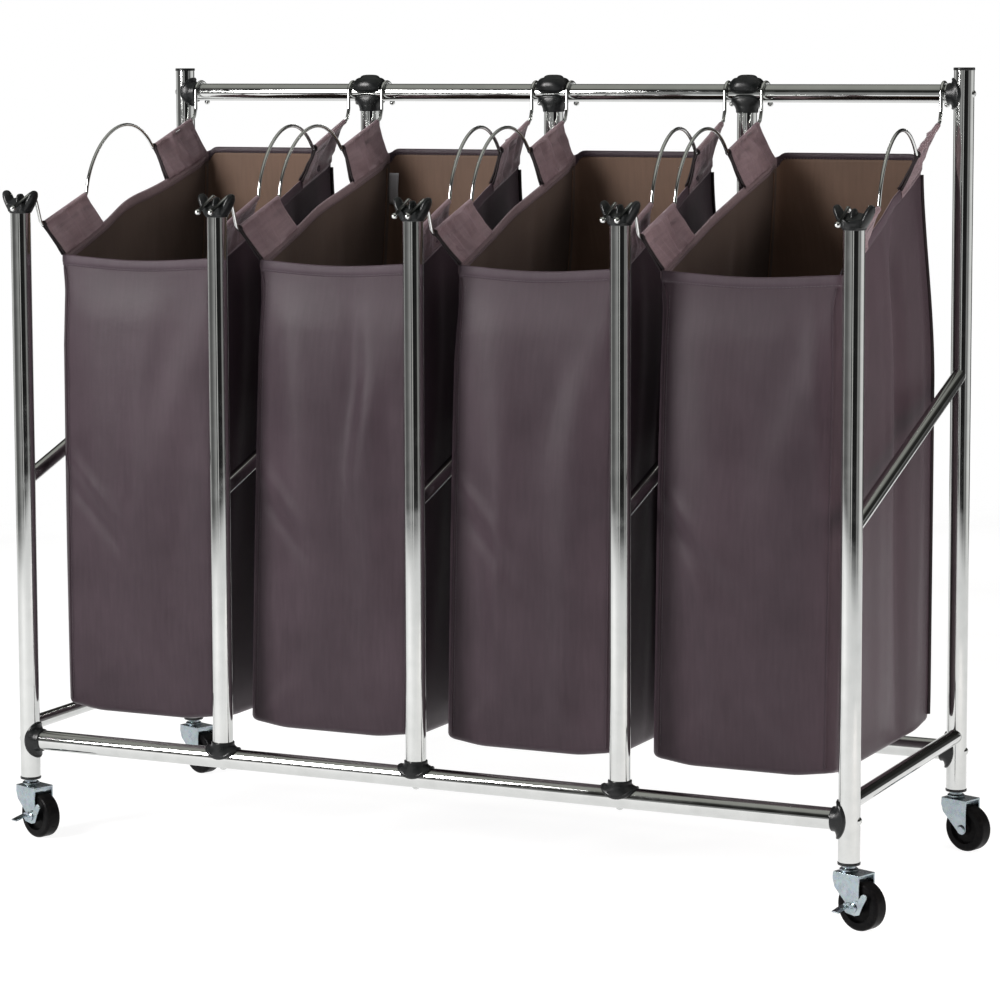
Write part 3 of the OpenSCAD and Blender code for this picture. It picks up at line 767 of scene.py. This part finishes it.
def bag_shell(shape):
    """Walls and base as one skin, from the middle of the base up to the rim."""
    low = [0.0, 0.0012, 0.004, 0.008, 0.012, 0.017, 0.025, 0.035, 0.05]
    levels = np.concatenate([low, np.linspace(0.062, 0.985, 86), [1.0]])
    walls = np.array([[shape.point(p, s, v)[0] for p, s in shape.stations] for v in levels])
    foot = walls[0]
    centre = foot.mean(0)
    base = []
    for share in (0.02, 0.2, 0.4, 0.6, 0.78, 0.90, 0.955, 0.985, 0.995):
        ring = centre + (foot - centre) * share
        sag = (1 - share ** 2) * 1.5 * MM
        dents = [1.2 * MM * noise.noise(Vector((p[0] * 22, p[1] * 22, shape.number * 5.0)))
                 for p in ring]
        ring[:, 2] = BAG_BOTTOM + (foot[:, 2] - BAG_BOTTOM) * share ** 3 - sag
        ring[:, 2] += np.array(dents) * (1 - share ** 4)
        base.append(ring)
    points = np.concatenate([np.array(base), walls])
    shell = grid_mesh(f"bag_{shape.number}_shell", points,
                      [CLOTH_OUT, CLOTH_OUT, CLOTH_IN, CLOTH_SIDE_IN_PAINTED_SHADE], closed=True)
    # side panels take index 1 outside, so index 3 inside after the offset: the lining darkened as painted
    # shade
    paint(shell, shape, lambda row, at_side: 1 if at_side else 0)
    close_base(shell, len(shape.stations))
    return thicken(shell, CLOTH, material_offset=2, material_offset_rim=0)


def close_base(obj, count):
    bm = bmesh.new()
    bm.from_mesh(obj.data)
    bm.verts.ensure_lookup_table()
    face = bm.faces.new([bm.verts[k] for k in range(count)][::-1])
    face.smooth = True
    bm.to_mesh(obj.data)
    bm.free()


def rim_points(shape, below=0.0):
    """The rim's outer points and normals, at a distance below the edge."""
    rows = []
    for panel, share in shape.stations:
        tall = shape.top(panel, share) - BAG_BOTTOM
        narrow = 0.45 * smooth_step(min(share, 1 - share) / 0.06) if panel == "rear" else 0.0
        rows.append(shape.point(panel, share, 1 - below * (1 - narrow) / tall))
    return zip(*rows)


def bag_hem(shape):
    """The edge turned over to the inside: a flat U over the rim, doubled down both faces."""
    proud = 0.55 * MM
    inner = CLOTH + 0.8 * MM
    profile = [(HEM_H, 0.0), (HEM_H - 0.6 * MM, proud), (HEM_H / 2, proud + 0.15 * MM),
               (1.0 * MM, proud), (-0.7 * MM, proud * 0.4), (-1.0 * MM, -CLOTH / 2),
               (-0.7 * MM, -inner + 0.4 * MM), (1.0 * MM, -inner), (HEM_H / 2, -inner - 0.15 * MM),
               (HEM_H - 0.6 * MM, -inner), (HEM_H, -CLOTH)]
    rows = []
    for below, out in profile:
        points, normals = rim_points(shape, max(below, 0.0))
        rows.append([p + n * out - np.array([0, 0, min(below, 0.0)]) for p, n in zip(points, normals)])
    hem = grid_mesh(f"bag_{shape.number}_hem", np.array(rows)[::-1],
                    [CLOTH_HEM, CLOTH_OUT, CLOTH_TAPE_PAINTED_LIGHT], closed=True)
    # inside the rim, the side panels take the turned-in outer cloth lightened as painted light; front and
    # rear keep bag_outer
    paint(hem, shape, lambda row, at_side: 0 if row >= 5 else 2 if at_side else 1)
    return hem


def corner_seam(shape, k, level):
    """Point and outward direction on the k-th upright seam, which front corners set on the front."""
    if k >= 2:
        inset = 6 * MM / BAG_DEPTH
        panel, share = ("right", 1 - inset) if k == 2 else ("left", inset)
    else:
        inset = (2 + 6 * smooth_step((1 - level) / 0.06)) * MM / BAG_W
        panel, share = "front", inset if k == 0 else 1 - inset
    return shape.point(panel, share, level)


def bag_seams(shape):
    """Upright seams at the four corners: a cord outside and a turned edge inside."""
    parts = []
    for k in range(4):
        rear = k >= 2
        outer, inner = [], []
        for level in np.linspace(0.015, 0.975, 90):
            point, out = corner_seam(shape, k, level)
            outer.append(point + out * (0.9 if rear else 0.1) * MM)
            inner.append(point - out * (CLOTH + 0.5 * MM))
        parts.append(tube(f"seam_{k}", outer, (2.3 if rear else 0.8) * MM,
                          [CLOTH_EDGE_PIPING_AND_SHADE if rear else CLOTH_OUT], 8))
        parts.append(tube(f"seam_in_{k}", inner, 0.9 * MM, [CLOTH_IN], 8))
    return joined(f"bag_{shape.number}_seams", parts)


STITCH = 2.6 * MM
STITCH_GAP = 1.1 * MM
THREAD_R = 0.28 * MM
# a stitch's rings: share of its length, share of the thread's radius, lift off the cloth in mm
STITCH_RINGS = ((0.0, 0.3, -0.2), (0.2, 0.9, 0.12), (0.5, 1.0, 0.3), (0.8, 0.9, 0.12), (1.0, 0.3, -0.2))


def add_stitches(path, normals, verts, faces):
    """Stitches that lie along a path, each a short spindle that dips at its ends."""
    path, normals = np.asarray(path, float), np.asarray(normals)
    along = np.concatenate([[0], np.cumsum(np.linalg.norm(np.diff(path, axis=0), axis=1))])
    shares, sizes, lifts = np.array(STITCH_RINGS).T
    at = STITCH_GAP
    while at + STITCH < along[-1]:
        ring_at = at + STITCH * shares
        centre, out = [np.stack([np.interp(ring_at, along, line[:, k]) for k in range(3)], 1)
                       for line in (path, normals)]
        centre = centre + out * (lifts * MM)[:, None]
        side = np.cross(unit(centre[-1] - centre[0]), out[2])
        side = side / max(np.linalg.norm(side), 1e-9)
        first = len(verts)
        for c, size in zip(centre, sizes):
            for t in circle(6):
                verts.append(c + THREAD_R * size * (math.cos(t) * side + math.sin(t) * out[2]))
        for j in range(4):
            for k in range(6):
                a, b = first + j * 6 + k, first + j * 6 + (k + 1) % 6
                faces.append((a, b, b + 6, a + 6))
        faces.append(tuple(first + k for k in range(5, -1, -1)))
        faces.append(tuple(first + 24 + k for k in range(6)))
        at += STITCH + STITCH_GAP


def stitches(name, rows):
    verts, faces = [], []
    for path, normals in rows:
        add_stitches(path, normals, verts, faces)
    mesh = bpy.data.meshes.new(name)
    mesh.from_pydata([tuple(p) for p in verts], [], faces)
    return finish_mesh(name, mesh, [THREAD])


def bag_stitches(shape):
    rows = []
    points, normals = rim_points(shape, HEM_H - 1.6 * MM)
    outer = [p + n * 0.6 * MM for p, n in zip(points, normals)]
    inner = [p - n * (CLOTH + 0.85 * MM) for p, n in zip(points, normals)]
    rows.append((outer + outer[:1], normals + normals[:1]))
    rows.append((inner + inner[:1], [-n for n in normals + normals[:1]]))
    for panel in PANELS:
        share = (8 * MM + 3 * MM) / width_of(panel)
        column = [shape.point(panel, share, v) for v in np.linspace(0.03, 0.96, 90)]
        rows.append(([point + normal * 0.1 * MM for point, normal in column],
                     [normal for _, normal in column]))
    return stitches(f"bag_{shape.number}_stitches", rows)


class Tab:
    """One sewn tab: cloth doubled over the wire, from a stretch of the rim to the sleeve."""

    # its faces, as the share of the way from the rim up to the wire, or when negative down the
    # wall, and mm out
    INNER = ((-0.28, -2.6), (-0.1, -2.6), (0, -2.34), (0.14, -1.7), (0.30, -1.3), (0.5, -1.1))
    OUTER = ((0.5, 1.1), (0.30, 1.3), (0.14, 1.5), (0, 1.5), (-0.4, 1.5), (-1, 1.5))

    def __init__(self, shape, side_name, place):
        self.shape = shape
        self.name = f"bag_{shape.number}_tab_{side_name}_{place}"
        self.panel = side_name
        self.post_x, self.side = post_beside(shape.number, side_name)
        inset = 2.5 * MM
        if place == "front":
            self.sleeve_y = (SLEEVE_FRONT[0] + inset, HANDLE_Y[0] - inset)
            self.base_y = (BAG_FRONT_Y + 3 * MM, -55 * MM)
            self.wrinkle = 3.0
        else:
            self.sleeve_y = (HANDLE_Y[1] + inset, SLEEVE_REAR_Y - inset)
            self.base_y = (78 * MM, 161 * MM)
            self.wrinkle = 4.6
        self.seed = shape.number * 11.0 + (3.0 if place == "front" else 0.0) + self.side

    def base_point(self, t, below):
        """On the side panel's outer face, below its rim, at share t from front to rear."""
        y = np.interp(t, (0, 1), self.base_y)
        share = (y - BAG_FRONT_Y if self.panel == "right" else BAG_REAR_Y - y) / BAG_DEPTH
        tall = self.shape.top(self.panel, share) - BAG_BOTTOM
        return self.shape.point(self.panel, share, 1 - below / tall)

    def sleeve_point(self, t):
        y = np.interp(t, (0, 1), self.sleeve_y)
        return np.array(wire_at(on_sleeve(y), self.post_x, self.side))

    def section(self, t):
        """At share t: the cross-section, up the inner face and down the outer, and its axes."""
        foot, normal = self.base_point(t, 8 * MM)
        edge, _ = self.base_point(t, 0.0)
        wire = self.sleeve_point(t)
        rise = wire - edge
        up = unit(rise)
        along = unit(self.sleeve_point(min(t + 0.01, 1)) - self.sleeve_point(max(t - 0.01, 0)))
        out = unit(np.cross(up, along))
        if out @ normal < 0:
            out = -out
        radius = (WIRE_R + 0.5 * MM) * 1.12
        seam_at = wire - up * SEAM_DROP
        going_up, going_down = [
            [edge + (rise if share > 0 else edge - foot) * share + out * mm * MM for share, mm in face]
            for face in (self.INNER, self.OUTER)]
        over = [wire + radius * (up * math.cos(turn) + out * math.sin(turn))
                for turn in np.radians(range(-150, 151, 25))]
        line = [*going_up, seam_at - out * 0.75 * MM, *over, seam_at + out * 0.75 * MM, *going_down]
        return np.array(line), out, up

    def surface(self):
        """The section all along the tab, wrinkled where it's free."""
        rows = []
        for t in np.linspace(0, 1, 40):
            line, out, _ = self.section(t)
            last = len(line) - 1
            for k, p in enumerate(line):
                level = min(k, last - k) / (len(line) / 2)
                free = math.sin(math.pi * min(level * 1.35, 1.0)) * math.sin(math.pi * (0.08 + 0.84 * t))
                along, up = p[1] + p[2] * 0.5, p[2]
                wave = noise.noise(Vector((along * 50 + self.seed, up * 34, self.seed)))
                fine = noise.noise(Vector((along * 130, up * 80 + self.seed, 3 + self.seed)))
                line[k] = p + out * self.wrinkle * free * (1.8 * wave + 0.8 * fine) * MM
            rows.append(line)
        return np.array(rows)

    def build(self):
        """The doubled cloth, a near-black cord down its front edge that paints the shaded gap between its
        two layers, and its thread.
        """
        points = self.surface()
        # the tab's cloth is the bag's outer fabric lightened as painted light
        cloth = thicken(grid_mesh(self.name, points, [CLOTH_TAB_PAINTED_LIGHT]), 0.6 * MM, offset=0)
        # painted shade: a near-black cord where the gap between the tab's two layers lies in shade
        edge = tube(f"{self.name}_edge", points[0][2:-2], 1.3 * MM, [CLOTH_EDGE_PIPING_AND_SHADE], 8)
        return cloth, edge, self.stitching()

    def stitching(self):
        """On each face, two rows below the wire and one where the tab joins the rim."""
        rows = []
        for face in (-1, 1):
            for drop in (SEAM_DROP, SEAM_DROP + 2.2 * MM):
                path, normals = [], []
                for t in np.linspace(0.03, 0.97, 30):
                    _, out, up = self.section(t)
                    path.append(self.sleeve_point(t) - up * drop + out * face * 1.15 * MM)
                    normals.append(out * face)
                rows.append((path, normals))
            off = 1.85 * MM if face > 0 else -(CLOTH + 2.05 * MM)
            foot = [self.base_point(t, 5.5 * MM) for t in np.linspace(0.04, 0.96, 30)]
            rows.append(([point + normal * off for point, normal in foot],
                         [normal * face for _, normal in foot]))
        return stitches(f"{self.name}_thread", rows)


def make_tabs(shape):
    pieces = []
    for side_name in SIDES:
        for place in ("front", "rear"):
            cloth, edge, thread = Tab(shape, side_name, place).build()
            pieces += [cloth, edge, thread]
    return pieces


def make_label(shape):
    """A blank sewn label that hangs inside the rear wall, by the left corner."""
    share = 1 - 10 * MM / BAG_W
    tall = shape.top("rear", share) - BAG_BOTTOM
    top, long, half = 26, 36, 6
    rows = []
    for below in np.linspace(top, top + long, 12):
        point, normal = shape.point("rear", share, 1 - below * MM / tall)
        lift = (CLOTH + 2.2 * MM) + 1.6 * MM * math.sin((below - top) / long * math.pi)
        rows.append([point - normal * lift + np.array([d, 0, 0]) for d in np.linspace(-half, half, 5) * MM])
    return thicken(grid_mesh(f"bag_{shape.number}_label", np.array(rows), [LABEL]), 0.4 * MM)


def make_bag(i):
    shape = BagShape(i)
    body = f"bag_{i}"
    shell = bag_shell(shape)
    hem, seams, thread = bag_hem(shape), bag_seams(shape), bag_stitches(shape)
    put(shell, body, "bag_fabric", body)
    riders = [hem, seams, thread, *make_tabs(shape)]
    if i == 2:
        label = make_label(shape)
        riders.append(label)
    for piece in riders:
        put(piece, body, "bag_fabric")


# ---- plastic and steel pieces ----

def make_saddles():
    """Every place where one tube of the rack meets the side of another."""
    rail_z = middle("front_bottom_rail").z
    rail_r = post_r = 11 * MM
    quarter = math.radians(88)
    right, up, down = (1, 0, 0), (0, 0, 1), (0, 0, -1)
    ends, lower, upper = [], [], []
    for x, inward in ((POST_X[0], 1), (POST_X[-1], -1)):
        for y, z, joined_r, reach in ((FRONT_Y, rail_z, rail_r, 20 * MM), (REAR_Y, rail_z, rail_r, 20 * MM),
                                      (REAR_Y, TOP_RAIL_Z, TOP_RAIL_R, 17 * MM)):
            ends.append(saddle("cup", (x, y, z), up, (inward, 0, 0), post_r, reach,
                               joined_r + 1.6 * MM, 17.5 * MM, quarter))
    for x in POST_X[1:-1]:
        for y in (FRONT_Y, REAR_Y):
            lower.append(saddle("foot", (x, y, rail_z), right, up, rail_r, 20 * MM,
                                post_r + 1.5 * MM, 18.5 * MM, quarter))
        tee = (x, REAR_Y, TOP_RAIL_Z)
        upper.append(saddle("neck", tee, right, down, TOP_RAIL_R, 16.5 * MM,
                            post_r + 1.3 * MM, 21.5 * MM, math.radians(83), square=0.62))
        upper.append(saddle("dome", tee, right, up, TOP_RAIL_R, 18.5 * MM,
                            11.5 * MM, 20.5 * MM, math.radians(93), dome=True, square=0.55))
    for node, parts in (("rail_end_cups", ends), ("bottom_saddles", lower), ("top_saddles", upper)):
        put(joined(f"{node}_moulded", parts), "rack", "black_plastic", node)


def lobe(stations):
    """A rounded upright form through (x, z, half width, half depth) stations, closed at both ends."""
    rows = []
    for k, (x, z, wide, deep) in enumerate(stations):
        ahead, behind = stations[min(k + 1, len(stations) - 1)], stations[max(k - 1, 0)]
        along = Vector((ahead[0] - behind[0], ahead[1] - behind[1])).normalized()
        rows.append([((x + along.y * wide * math.cos(t)) * MM, deep * math.sin(t) * MM,
                      (z - along.x * wide * math.cos(t)) * MM) for t in circle(28)])
    return grid_mesh("lobe", rows, [BLACK], closed=True, capped=True)


def saddle_web():
    """The sloped block between the lobes that the two hooked wires lie on."""
    plan = [(11.2 * power(math.cos(t), 0.5), -3.6 + 7.8 * power(math.sin(t), 0.5)) for t in circle(36)]
    rows = [[(x * MM, y * MM, (2 + share * (13.4 + 0.4266 * y)) * MM) for x, y in plan]
            for share in np.linspace(0, 1, 8)]
    return grid_mesh("web", rows, [BLACK], closed=True, capped=True)


def make_hook_caps():
    """Plug caps whose two flared ears and centre peak hold the front ends of the wires."""
    collar = [(0, 0.05, 11.95, 11.95), (0, 0.5, 12.2, 12.2), (0, 4.4, 12.3, 12.3),
              (0, 7.2, 13.0, 13.0), (0, 9.4, 13.1, 12.6), (0, 10.6, 11.6, 11.2)]
    ear = [(8.6, 3.0, 3.6, 9.6), (11.6, 8.6, 4.3, 9.2), (14.4, 14.0, 4.5, 8.8), (16.4, 18.4, 4.4, 8.0),
           (17.7, 21.6, 3.8, 6.6), (18.5, 23.6, 2.8, 4.8), (18.9, 24.5, 1.3, 2.4)]
    peak = [(0, 3, 5.0, 9.0), (0, 10, 4.2, 8.4), (0, 15, 3.3, 7.6), (0, 18.6, 2.9, 6.4),
            (0, 20.4, 2.2, 5.0), (0, 21.3, 1.0, 2.6)]
    mirrored = [(-x, z, wide, deep) for x, z, wide, deep in ear]
    caps = []
    for x in POST_X:
        cap = fused(joined("cap", [lobe(collar), lobe(ear), lobe(mirrored), lobe(peak), saddle_web()]),
                    0.5 * MM, 5, 0.4)
        cap.data.transform(Matrix.Translation((x, FRONT_Y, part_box("front_post_1")[1].z)))
        caps.append(cap)
    put(joined("hook_caps_moulded", caps), "rack", "black_plastic", "hook_caps")


def make_mouldings():
    """CAD pieces that are kept as they are but for softened edges."""
    for node in ("rear_post_caps", "caster_sockets"):
        put(moulded(node, "moulded", 0.6 * MM, BLACK), "rack", "black_plastic", node)
    for i in CASTERS:
        node = f"caster_fork_{i}"
        put(moulded(node, "pressed", 0.4 * MM, ZINC), f"caster_{i}", "zinc_steel", node)
    for i in BRAKED:
        node = f"brake_lever_{i}"
        put(moulded(node, "stamped", 0.3 * MM, ZINC), f"brake_{i}", "zinc_steel", node)


def dress_cad_nodes():
    """The CAD nodes that show as they are get the detailed materials."""
    looks = {"chrome_tube": CHROME, "chrome_screw": CHROME_SCREW, "chrome_wire": CHROME_WIRE,
             "black_plastic": BLACK, "zinc_steel": ZINC, "wheel_black": WHEEL,
             "bag_fabric": CLOTH_OUT}
    for row in frame["record"]["subparts"]:
        for slot in NODES[row["node"]].material_slots:
            slot.material = looks[row["material_slot"]]


# ---- studio ----

def make_floor():
    ticks = np.linspace(-3.0, 3.0, 7)
    points = [[(x, y, 0.0) for x in ticks] for y in ticks]
    grid_mesh("studio_floor", points, [FLOOR])


def aimed(name, data, place, ahead, roll=0.0):
    """A lamp or camera at a place, looking along ahead and rolled by some degrees about it."""
    obj = add_object(name, data)
    obj.location = place
    obj.rotation_mode = "QUATERNION"
    obj.rotation_quaternion = (ahead.to_track_quat("-Z", "Y")
                               @ Quaternion((0, 0, 1), math.radians(roll)))
    return obj


def area_light(name, place, target, size, energy, colour=(1, 1, 1), mirrored=False):
    data = bpy.data.lights.new(name, "AREA")
    data.shape = "RECTANGLE"
    data.size, data.size_y = size
    data.energy = energy
    data.color = colour
    aimed(name, data, place, Vector(target) - Vector(place)).visible_glossy = mirrored


# brightness round the room, by degrees from the camera's own direction, rising to its right
ROOM_BANDS = ((-180, 0.60), (-163, 0.10), (-148, 0.05), (-140, 0.80), (-118, 0.80), (-104, 0.24),
              (-88, 0.12), (-64, 0.16), (-42, 0.34), (-27, 0.42), (-20, 0.03), (-15.5, 0.03),
              (-14, 0.70), (-8, 0.70), (-5, 0.012), (38, 0.02), (45, 0.30), (56, 0.30), (63, 0.10),
              (74, 0.60), (90, 0.92), (118, 0.92), (126, 0.08), (146, 0.05), (160, 0.55), (180, 0.60))
CEILING_BANDS = ((0.62, 0.02), (0.79, 0.03), (0.88, 0.36), (1.0, 0.42))
WALL_LIGHT = (0.13, 0.127, 0.123)
WHITE = (1, 1, 1)


def make_world():
    """White to the camera; to the chrome, a room with white walls, soft boxes and dark gaps."""
    world = bpy.data.worlds.new("studio")
    bpy.context.scene.world = world
    world.use_nodes = True
    n = Nodes(world.node_tree)
    n.tree.nodes.clear()
    place = n.add("ShaderNodeTexCoord").outputs["Generated"]
    x, y, z = n.add("ShaderNodeSeparateXYZ", {"Vector": place}).outputs
    turn = n.math("ARCTAN2", x, n.math("MULTIPLY", y, -1.0))
    round_share = n.math("ADD", n.math("DIVIDE", turn, 2 * math.pi))
    up_share = n.math("ADD", n.math("MULTIPLY", z))
    stops = sorted((((degrees + CAMERA_AZIMUTH + 180) % 360) / 360, (value, value, value * 0.985))
                   for degrees, value in ROOM_BANDS)
    room = n.colours(round_share, *stops)
    overhead = n.colours(up_share, *((at, (value, value * 1.01, value * 0.93))
                                     for at, value in CEILING_BANDS))
    below_ceiling = n.colours(up_share, (0.56, WHITE), (0.62, (0, 0, 0)))
    path = n.add("ShaderNodeLightPath").outputs
    mirrored = n.mix(path["Is Glossy Ray"], WALL_LIGHT, n.mix(below_ceiling, overhead, room))
    seen = n.mix(path["Is Camera Ray"], mirrored, WHITE)
    back = n.add("ShaderNodeBackground", {"Color": seen})
    n.add("ShaderNodeOutputWorld", {"Surface": back.outputs[0]})


CAMERA_AZIMUTH = 24.91
CAMERA_ELEVATION = 6.016
CAMERA_ROLL = -0.185
CAMERA_PLACE = (1.5171, -3.2336, 0.8667)
CAMERA_LENS = 118.47
CAMERA_SHIFT_Y = -0.10


def make_camera():
    data = bpy.data.cameras.new("camera")
    data.sensor_width = 36.0
    data.lens = CAMERA_LENS
    data.shift_y = CAMERA_SHIFT_Y
    data.clip_start, data.clip_end = 0.05, 100
    a, e = math.radians(CAMERA_AZIMUTH), math.radians(CAMERA_ELEVATION)
    back = Vector((math.sin(a) * math.cos(e), -math.cos(a) * math.cos(e), math.sin(e)))
    bpy.context.scene.camera = aimed("camera", data, CAMERA_PLACE, -back, CAMERA_ROLL)


def make_lights():
    area_light("key_left", (-1.15, -1.75, 1.3), (-0.2, 0, 0.45), (0.6, 1.0), 58, (1, 0.98, 0.97),
               mirrored=True)
    area_light("fill_right", (1.5, -0.5, 0.62), (0.5, 0, 0.45), (0.4, 0.8), 13, (1, 0.90, 0.85))
    area_light("back_right", (0.9, 0.75, 1.9), (-0.1, 0.1, 0.7), (0.6, 0.6), 11, (1, 0.93, 0.91))
    area_light("top", (0.1, -0.3, 2.6), (0, 0, 0), (2.2, 1.6), 11)


make_camera()
make_world()
make_lights()
make_floor()
dress_cad_nodes()
make_saddles()
make_hook_caps()
make_mouldings()
for number in BAGS:
    make_bag(number)
    for side in SIDES:
        make_hanger(number, side)

bpy.context.scene.view_settings.view_transform = "Standard"
bpy.context.view_layer.update()
